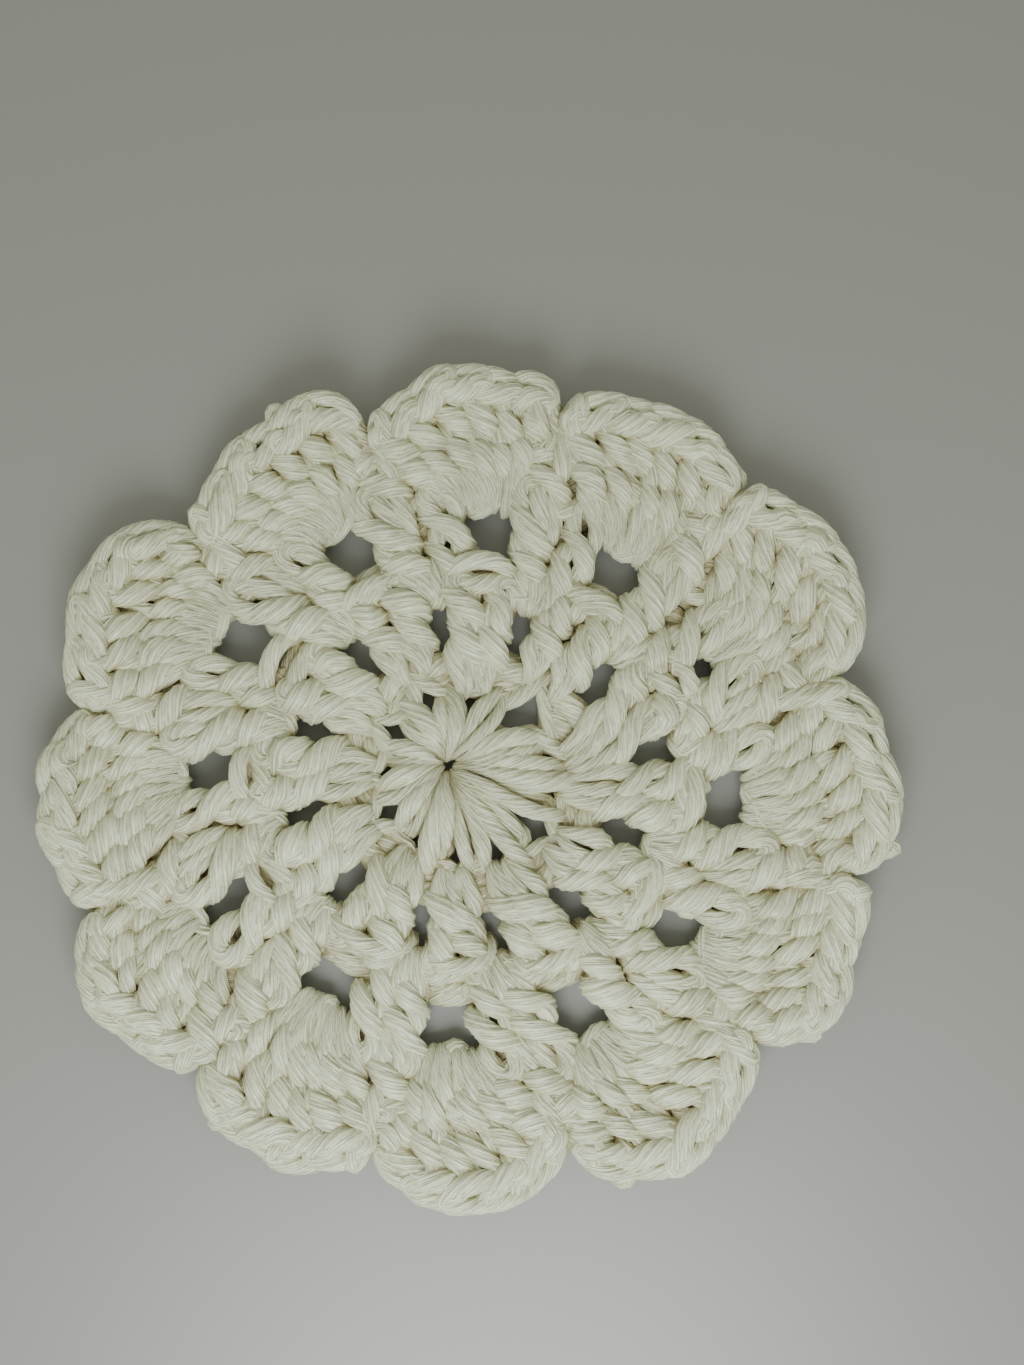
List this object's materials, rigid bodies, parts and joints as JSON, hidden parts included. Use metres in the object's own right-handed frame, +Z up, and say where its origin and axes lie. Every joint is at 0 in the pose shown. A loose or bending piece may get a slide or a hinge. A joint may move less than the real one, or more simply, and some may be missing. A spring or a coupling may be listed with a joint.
{
  "type": "crochet coaster",
  "caption": "Flower-shaped openwork crochet coaster of soft off-white cotton yarn, lying flat, with a raised rim round each petal.",
  "frame": {"origin": "centre of the coaster's outline, on the surface that it lies on", "axes": "+Z up out of the face that shows, +Y towards the petal at the top of the picture, +X to its right"},
  "size_m": [0.1194, 0.1178, 0.009],
  "materials": {
    "cotton_yarn": "soft matt loosely twisted cotton yarn"
  },
  "bodies": {
    "root": {"coaster": "cotton_yarn"}
  },
  "joints": []
}
